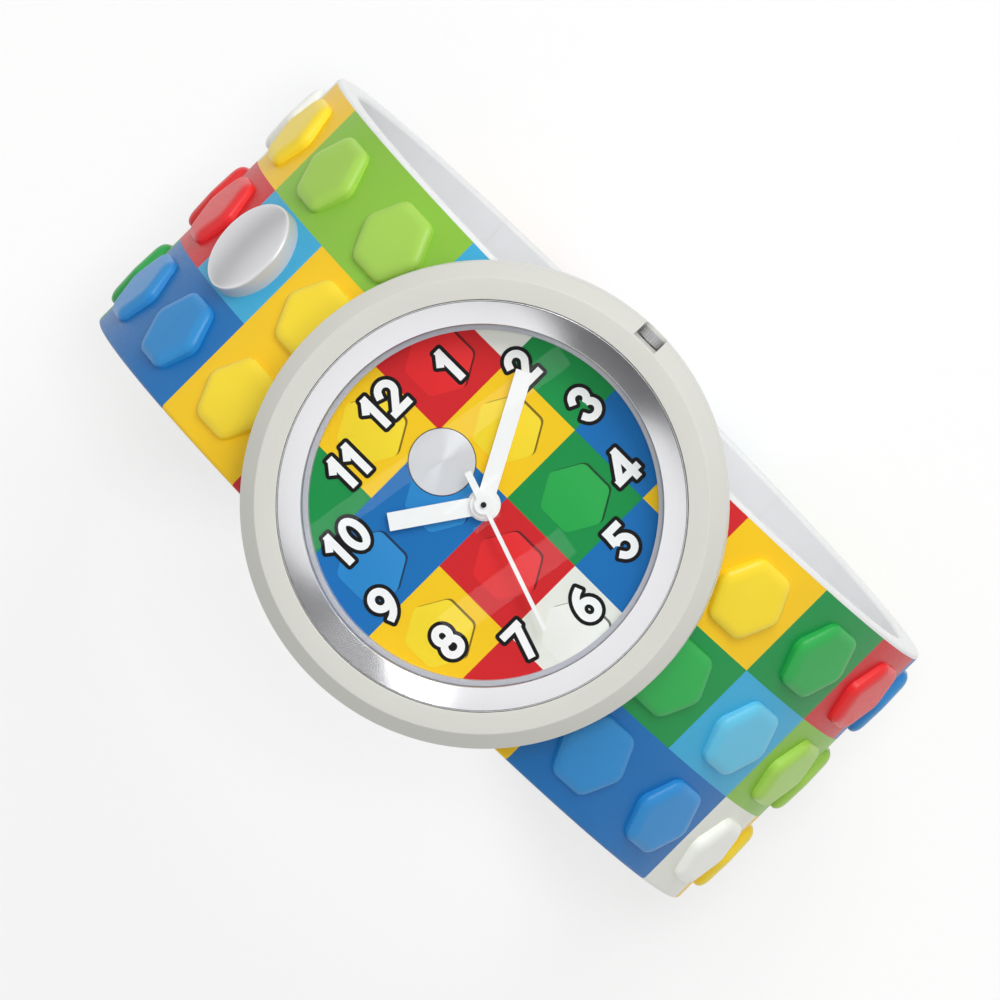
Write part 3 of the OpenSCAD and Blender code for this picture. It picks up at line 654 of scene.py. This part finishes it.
OUTLINE = band_outline()
for tail, side in TAILS.items():
    for link in range(1, LINKS + 1):
        first = link == 1 and side > 0
        bodies = ("case" if link == 1 else "tail_%s_%d" % (tail, link - 1), "tail_%s_%d" % (tail, link))
        start, end = (Vector(around(0, BAND_R, STEP * place, side)) for place in (link - 1, link))
        sleeve = sweep("sleeve_%s_%d" % (tail, link), OUTLINE, sleeve_stations(link), side, BAND_MATS,
                       painter(tail))
        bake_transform(sleeve)
        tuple(start)
        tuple(end)
        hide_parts("band_%s_link_%d" % (tail, link), *(["band_middle"] if first else []))
        strip = sweep("spring_%s_%d" % (tail, link), STRIP, spring_stations(link), side,
                      [SLOTS["spring_steel"]])
        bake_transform(strip)
        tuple(start)
        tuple(end)
        if first:
            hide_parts("slap_spring")
        pads = pad_row(tail, side, link)
        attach(pads, bodies[1])

# Rivet: a low dome on a post, with a plainer finish on its side
DOME_SHARES = (0.85, 0.7, 0.55, 0.4, 0.25, 0.12)
STEEP_NORMAL = 0.5
dome = [(RIVET_R * share, RIVET_TOP - RIVET_DOME * share * share, 0) for share in DOME_SHARES]
rivet = lathe("rivet", rounded([
    (0, POST_LOW, 0),
    (POST_R, POST_LOW, 0),
    (POST_R, RIVET_LOW, 0),
    (RIVET_R, RIVET_LOW, 0),
    (RIVET_R, RIVET_TOP - RIVET_DOME, RIVET_EDGE),
    *dome,
    (0, RIVET_TOP, 0),
]), RIVET)
rivet.data.materials.append(RIVET_SIDE)
for face in rivet.data.polygons:
    face.material_index = int(abs(face.normal.z) < STEEP_NORMAL)
rivet.matrix_world = Matrix.Rotation(-STEP * RIVET_LINK, 4, "X")
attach(rivet, "tail_12_%d" % RIVET_LINK)
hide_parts("rivet_cap")

# Case: a turned shell, cut for the crown's pocket and its stem
case = lathe("case_shell", rounded([
    (BORE_R, CASE_LOW.z, 0),
    (CASE_R - TAPER, CASE_LOW.z, FOOT_EDGE),
    (CASE_R, CASE_LOW.z + TAPER, TAPER_EDGE),
    (CASE_R, CASE_TOP - BEVEL_H, SIDE_EDGE),
    (CASE_R - BEVEL_W, CASE_TOP, TOP_EDGE),
    (BEZEL_R + LOOSE, CASE_TOP, LIP_EDGE),
    (BEZEL_R + LOOSE, SEAT_Z + FLANGE_T, 0),
    (FLANGE_R + LOOSE, SEAT_Z + FLANGE_T, 0),
    (FLANGE_R + LOOSE, SEAT_Z, 0),
    (BEZEL_IN + LOOSE, SEAT_Z, 0),
    (BEZEL_IN + LOOSE, LIP_Z, 0),
    (BORE_R, LIP_Z, 0),
]), CASE)
trough_turns = [math.pi * (s / POCKET_STEPS - 0.5) for s in range(POCKET_STEPS + 1)]
trough = [(POCKET_HALF * math.sin(turn), STEM_Z - POCKET_HALF * math.cos(turn)) for turn in trough_turns]
open_top = [(POCKET_HALF, CASE_TOP + MM), (-POCKET_HALF, CASE_TOP + MM)]
pocket = bar_along_x("pocket", trough + open_top, POCKET_X, CASE_R + MM)
hole = [(y, STEM_Z + z) for y, z in circle(TUBE_R, TUBE_SEGMENTS)]
cut(case, pocket, bar_along_x("tube", hole, BORE_R - MM, CASE_R))
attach(case, "case")
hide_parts("case_body")

# Bezel ring
SHELF_Z = CRYSTAL_LOW.z + FLANGE_T + LOOSE
bezel = lathe("bezel", rounded([
    (FLANGE_R + LOOSE, BEZEL_LOW.z, 0),
    (BEZEL_R, BEZEL_LOW.z, 0),
    (BEZEL_R, CASE_TOP + LOOSE, BEZEL_ROUNDS[0]),
    (BEZEL_R - BEZEL_EDGE, CASE_TOP + BEZEL_EDGE / 2, BEZEL_ROUNDS[1]),
    (BEZEL_IN, CASE_TOP - BEZEL_SLOPE, BEZEL_ROUNDS[2]),
    (BEZEL_IN, SHELF_Z, 0),
    (FLANGE_R + LOOSE, SHELF_Z, 0),
]), CHROME, BEZEL_SEGMENTS)
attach(bezel, "case")
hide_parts("bezel_ring")

# Lens
crystal = lathe("lens", rounded([
    (0, CRYSTAL_LOW.z, 0),
    (FLANGE_R, CRYSTAL_LOW.z, 0),
    (FLANGE_R, CRYSTAL_LOW.z + FLANGE_T, 0),
    (CRYSTAL_R, CRYSTAL_LOW.z + FLANGE_T, 0),
    (CRYSTAL_R, CRYSTAL_HIGH.z, CRYSTAL_EDGE),
    (0, CRYSTAL_HIGH.z, 0),
]), LENS)
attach(crystal, "case")
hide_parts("crystal")

# Dial: colours of its squares, from the 12 o'clock side to the 6 o'clock side
CELLS = ["green yellow red white", "blue blue yellow green", "yellow red green blue", "red white blue yellow"]
COUNT = len(CELLS)
HALF_COUNT = COUNT // 2


def cell_ink(column, row):
    """The ink of a square, counted from 9 o'clock and from 6 o'clock."""
    return CELLS[COUNT - 1 - row].split()[column]


def on_dial(obj):
    """Fixes a piece to the dial."""
    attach(obj, "case")


def dial_print():
    """The dial's colour squares, cut to its round edge."""
    sheet = bmesh.new()
    sheet.faces.new([sheet.verts.new((x, y, DIAL_Z + INK)) for x, y in circle(DIAL_R, DIAL_SEGMENTS)])
    for axis in (0, 1):
        for line in range(1 - HALF_COUNT, HALF_COUNT):
            place, normal = Vector((0, 0, 0)), Vector((0, 0, 0))
            place[axis] = line * CELL + SHIFT[axis]
            normal[axis] = 1
            parts = sheet.verts[:] + sheet.edges[:] + sheet.faces[:]
            bmesh.ops.bisect_plane(sheet, geom=parts, plane_co=place, plane_no=normal)
    for face in sheet.faces:
        at = face.calc_center_median()
        cells = [math.floor((at[axis] - SHIFT[axis]) / CELL) + HALF_COUNT for axis in (0, 1)]
        column, row = (min(COUNT - 1, max(0, cell)) for cell in cells)
        face.material_index = INK_NAMES.index(cell_ink(column, row))
    mesh = bpy.data.meshes.new("dial_print")
    sheet.to_mesh(mesh)
    sheet.free()
    for ink in INK_NAMES:
        mesh.materials.append(DIAL[ink])
    obj = bpy.data.objects.new("dial_print", mesh)
    scene.collection.objects.link(obj)
    return obj


def spot(column, row):
    """The printed hexagon in the middle of a square, with a painted shadow shifted to one side under it."""
    middle = (COUNT - 1) / 2
    at = Vector(((column - middle) * CELL, (row - middle) * CELL)) + SHIFT
    if at.length > DIAL_R - SPOT_ROOM:
        return
    ink = cell_ink(column, row)
    form = hexagon(SPOT_FLATS, SPOT_CORNER, SPOT_CORNER_STEPS)
    # The first layer is painted shadow: a dark copy of the hexagon, shifted to one side under the spot
    layers = (("shade", at + PAINTED_SHADOW_MOVE, PAINTED_SHADOWS[ink], PAINTED_SHADOW_TOP), ("spot", at, SPOTS[ink], SPOT_TOP))
    for part, place, mat, top in layers:
        name = "%s_%d_%d" % (part, column, row)
        outline = [(place.x + x, place.y + y) for x, y in form]
        on_dial(prism(name, outline, DIAL_Z, top, mat, SPOT_SOFT, SPOT_SOFT, SPOT_EDGE_STEPS))


on_dial(dial_print())
for column in range(COUNT):
    for row in range(COUNT):
        spot(column, row)


def bow(x, y, across, tall, start, end):
    """Points on an ellipse, between two angles in degrees."""
    turns = [math.radians(start + (end - start) * s / BOW_STEPS) for s in range(BOW_STEPS + 1)]
    return [(x + across * math.cos(turn), y + tall * math.sin(turn)) for turn in turns]


# Numerals: strokes of each digit in shares of its width and height, with which of their two ends are free
DIGITS = {
    "0": [(bow(0.5, 0.5, 0.5, 0.5, 90, 450), 0, 0)],
    "1": [([(0, 0.74), (1, 1)], 1, 0),
          ([(1, 1), (1, 0)], 1, 1)],
    "2": [(bow(0.5, 0.72, 0.5, 0.28, 165, -35) + [(0.05, 0)], 1, 0),
          ([(0, 0), (1, 0)], 1, 1)],
    "3": [(bow(0.46, 0.755, 0.46, 0.245, 160, -80), 1, 0),
          (bow(0.48, 0.265, 0.52, 0.265, 80, -160), 0, 1)],
    "4": [([(0.85, 1), (-0.18, 0.2)], 0, 0),
          ([(-0.18, 0.2), (1.15, 0.2)], 1, 1),
          ([(0.85, 1), (0.85, 0)], 1, 1)],
    "5": [([(0.92, 1), (0.16, 1)], 1, 1),
          ([(0.18, 1), (0.1, 0.52)], 0, 0),
          (bow(0.46, 0.31, 0.54, 0.31, 138, -150), 0, 1)],
    "6": [(bow(0.5, 0.3, 0.5, 0.3, 0, 360), 0, 0),
          (bow(0.95, 0.3, 0.95, 0.7, 180, 105), 0, 1)],
    "7": [([(0, 1), (1, 1)], 1, 1),
          ([(0.95, 0.98), (0.35, 0)], 0, 1)],
    "8": [(bow(0.5, 0.75, 0.42, 0.25, 0, 360), 0, 0),
          (bow(0.5, 0.27, 0.5, 0.27, 0, 360), 0, 0)],
    "9": [(bow(0.5, 0.7, 0.5, 0.3, 0, 360), 0, 0),
          (bow(0.05, 0.7, 0.95, 0.7, 0, -75), 0, 1)],
}


def with_tips(points, pen, free):
    """A stroke's points with half widths. Its free ends run on, and are round where the pen is broad."""
    soft = pen - FACE_PEN
    turns = [QUARTER * s / TIP_STEPS for s in range(TIP_STEPS + 1)] if soft else [0]
    tips = [(FACE_PEN + soft * math.sin(turn), FACE_PEN + soft * math.cos(turn)) for turn in turns]
    path = [(point, pen) for point in points]
    if free[0]:
        way = (points[0] - points[1]).normalized()
        path = [(points[0] + way * reach, half) for reach, half in reversed(tips)] + path
    if free[1]:
        way = (points[-1] - points[-2]).normalized()
        path += [(points[-1] + way * reach, half) for reach, half in tips]
    return path


def ribbon(path):
    """The two edges of a flat line with a half width at each point, and its bends mitred."""
    points = [point for point, _ in path]
    ways = [b - a for a, b in zip(points, points[1:])]
    closed = (points[0] - points[-1]).length < FACE_PEN / 10
    before = [ways[-1] if closed else ways[0]] + ways
    after = ways + [ways[0] if closed else ways[-1]]
    pairs = []
    for (point, pen), *around_it in zip(path, before, after):
        one, other = (Vector((-way.y, way.x)).normalized() for way in around_it)
        mitre = (one + other) / (1 + one.dot(other)) * pen
        pairs.append((point + mitre, point - mitre))
    return pairs


def numeral(text, name, pen, mat, z):
    """A number printed with a pen of the given half width, centred on the origin."""
    widths = [NARROW_W if digit == "1" else DIGIT_W for digit in text]
    left = -(sum(widths) + DIGIT_GAP * (len(text) - 1)) / 2
    verts, faces = [], []
    for digit, width in zip(text, widths):
        for stroke, *free in DIGITS[digit]:
            points = [Vector((left + x * width, (y - 0.5) * DIGIT_H)) for x, y in stroke]
            first = len(verts)
            for pair in ribbon(with_tips(points, pen, free)):
                verts += [(*point, z) for point in pair]
            z += STROKE_RISE
            faces += [(i, i + 1, i + 3, i + 2) for i in range(first, len(verts) - 2, 2)]
        left += width + DIGIT_GAP
    return finish_mesh(name, verts, faces, [mat])


LAYERS = (("edge", EDGE_PEN, INK_BLACK, EDGE_Z), ("face", FACE_PEN, INK_WHITE, FACE_Z))
HOURS = 12
for hour in range(1, HOURS + 1):
    turn = math.radians(360 / HOURS * hour)
    place = Matrix.Translation((NUMERAL_R * math.sin(turn), NUMERAL_R * math.cos(turn), 0))
    for part, pen, mat, z in LAYERS:
        piece = numeral(str(hour), "numeral_%d_%s" % (hour, part), pen, mat, z)
        piece.matrix_world = place
        on_dial(piece)

# Silver disc on the dial, with a thin dark ring of painted shade round its edge
disc = lathe("dial_disc", rounded([
    (0, DIAL_Z, 0),
    (DISC_R, DIAL_Z, 0),
    (DISC_R, DIAL_Z + DISC_TOP - DISC_DROP, DISC_ROUND),
    (0, DIAL_Z + DISC_TOP, 0),
]), DISC, DISC_SEGMENTS)
disc_shade_outline = [(DISC_SHADE_RING[0], DIAL_Z), (DISC_SHADE_RING[1], DIAL_Z), (DISC_SHADE_RING[1], DISC_SHADE_TOP), (DISC_SHADE_RING[0], DISC_SHADE_TOP)]
disc_shade = lathe("dial_disc_edge_shade", disc_shade_outline, DISC_EDGE_SHADE, DISC_SEGMENTS)
for piece in (disc, disc_shade):
    piece.matrix_world = Matrix.Translation((0, DISC_Y, 0))
    on_dial(piece)

# Floor
FLOOR_SIZE = 3
FLOOR_GREYS = (0.98, 0.99)
FLOOR_GRAIN = 0.2
FLOOR_ROUGH = 0.9
GLOW_SHARE = 0.68


def seen_directly(tree):
    """1 for rays from the camera, from metal and through glass, 0 for light that falls on things."""
    path = tree.nodes.new("ShaderNodeLightPath")
    out = path.outputs["Is Camera Ray"]
    for ray in ("Is Glossy Ray", "Is Transmission Ray"):
        node = tree.nodes.new("ShaderNodeMath")
        node.operation = "MAXIMUM"
        tree.links.new(out, node.inputs[0])
        tree.links.new(path.outputs[ray], node.inputs[1])
        out = node.outputs[0]
    return out


def pale_floor():
    """A matt pale floor that keeps shadows, and partly shows as plain white."""
    mat = bpy.data.materials.new("floor_pale")
    mat.use_nodes = True
    tree = mat.node_tree
    shader = tree.nodes["Principled BSDF"]
    low, high = ((grey, grey, grey, 1) for grey in FLOOR_GREYS)
    tree.links.new(mixed(tree, low, high, noise(tree, FLOOR_GRAIN)), shader.inputs["Base Color"])
    shader.inputs["Roughness"].default_value = FLOOR_ROUGH
    shader.inputs["Specular IOR Level"].default_value = 0
    glow = tree.nodes.new("ShaderNodeEmission")
    share = tree.nodes.new("ShaderNodeMath")
    share.operation = "MULTIPLY"
    share.inputs[1].default_value = GLOW_SHARE
    tree.links.new(seen_directly(tree), share.inputs[0])
    mix = tree.nodes.new("ShaderNodeMixShader")
    tree.links.new(share.outputs[0], mix.inputs[0])
    tree.links.new(shader.outputs["BSDF"], mix.inputs[1])
    tree.links.new(glow.outputs["Emission"], mix.inputs[2])
    tree.links.new(mix.outputs["Shader"], tree.nodes["Material Output"].inputs["Surface"])
    return mat


bpy.ops.mesh.primitive_plane_add(size=FLOOR_SIZE, location=(0, 0, cad_box[0].z))
floor = bpy.context.object
floor.name = "floor"
floor.data.materials.append(pale_floor())

# Light
SKY_ON_THINGS = 0.43
SKY_SEEN = 1
AIM = Vector((0, 0, CASE_TOP))
world = bpy.data.worlds.new("studio")
scene.world = world
world.use_nodes = True
tree = world.node_tree
sky = tree.nodes["Background"]
sky.inputs["Color"].default_value = (1, 1, 1, 1)
power = tree.nodes.new("ShaderNodeMapRange")
power.inputs["To Min"].default_value = SKY_ON_THINGS
power.inputs["To Max"].default_value = SKY_SEEN
tree.links.new(seen_directly(tree), power.inputs["Value"])
tree.links.new(power.outputs["Result"], sky.inputs["Strength"])


def lamp(name, direction, distance, size, watts, glossy=True):
    """A square lamp, some way from the case in a direction, that faces it."""
    data = bpy.data.lights.new(name, "AREA")
    data.size = size
    data.energy = watts
    obj = bpy.data.objects.new(name, data)
    scene.collection.objects.link(obj)
    obj.location = AIM + Vector(direction).normalized() * distance
    obj.rotation_euler = (AIM - obj.location).to_track_quat("-Z", "Y").to_euler()
    obj.visible_glossy = glossy


lamp("over", direction=(0.12, -0.03, 1), distance=0.7, size=0.09, watts=1.25, glossy=False)
lamp("key", direction=(0.62, 0.1, 0.78), distance=0.7, size=0.35, watts=2.4)
lamp("fill", direction=(-0.7, -0.05, 0.7), distance=0.8, size=0.5, watts=0.1)

# Tint of the cards
CARD_BLUE = 1.03


def card(name, centre, size, grey, turn=0, upright=False):
    """A card, level or upright along X, that only bright metal and the lens see, as in a studio."""
    bpy.ops.mesh.primitive_plane_add(size=1)
    obj = bpy.context.object
    obj.name = name
    obj.scale = (size[0], size[1], 1)
    obj.location = centre
    obj.rotation_euler = (QUARTER if upright else 0, 0, turn)
    obj.visible_camera = obj.visible_diffuse = obj.visible_shadow = obj.visible_transmission = False
    mat = bpy.data.materials.new(name)
    mat.use_nodes = True
    nodes = mat.node_tree.nodes
    glow = nodes.new("ShaderNodeEmission")
    glow.inputs["Color"].default_value = (grey, grey, grey * CARD_BLUE, 1)
    mat.node_tree.links.new(glow.outputs["Emission"], nodes["Material Output"].inputs["Surface"])
    obj.data.materials.append(mat)


# Cards: a dark one over the bezel, one behind the rivet, and two bright stripes that the lens mirrors
DARK_PLACE = AIM + Vector((0, 0, 0.45))
RIVET_CARD_PLACE = (0, 0.088, -0.005)
STRIPE_UP = 0.4
STRIPE_TURN = math.radians(-9)
STRIPE_LIGHT = 2.2
STRIPES = (("stripe_upper", Vector((0, 7, 0)) * MM, (30 * MM, 2.2 * MM)),
           ("stripe_lower", Vector((-4, -6.6, 0)) * MM, (14 * MM, 2.8 * MM)))
TILT = math.radians(3.3)
TILT_DOWN = math.radians(0.65)
toward = Vector((math.sin(TILT), -math.sin(TILT_DOWN), math.cos(TILT))).normalized()
mirrored = Vector((-toward.x, -toward.y, toward.z)) * STRIPE_UP / toward.z
card("card_dark", DARK_PLACE, size=(1.1, 0.23), grey=0.1)
card("card_rivet", RIVET_CARD_PLACE, size=(0.12, 0.016), grey=0.2, upright=True)
for name, place, size in STRIPES:
    card(name, AIM + mirrored + place, size, STRIPE_LIGHT, STRIPE_TURN)

# Camera, with the case's upper circle at its pixel of the photograph's frame
FRAME_PIXELS = 1000
CASE_PIXEL = (482, 506)
PIXELS_PER_MM = 12.84
LENS_MM = 1000
SENSOR_MM = 36
NEAR_CLIP = 0.01
FAR_CLIP = 20
along = (Vector((0, 1, 0)) - toward * toward.y).normalized()
across = along.cross(toward)
right = (across - along).normalized()
up = (across + along).normalized()
off_right = FRAME_PIXELS / 2 - CASE_PIXEL[0]
off_up = CASE_PIXEL[1] - FRAME_PIXELS / 2
aim = AIM + (right * off_right + up * off_up) / PIXELS_PER_MM * MM
distance = FRAME_PIXELS / PIXELS_PER_MM * MM * LENS_MM / SENSOR_MM
camera = bpy.data.objects.new("camera", bpy.data.cameras.new("camera"))
camera.data.lens = LENS_MM
camera.data.sensor_width = SENSOR_MM
camera.data.clip_start = NEAR_CLIP
camera.data.clip_end = FAR_CLIP
facing = Matrix((right, up, toward)).transposed()
camera.matrix_world = Matrix.Translation(aim + toward * distance) @ facing.to_4x4()
scene.collection.objects.link(camera)
scene.camera = camera
scene.view_settings.view_transform = "Standard"
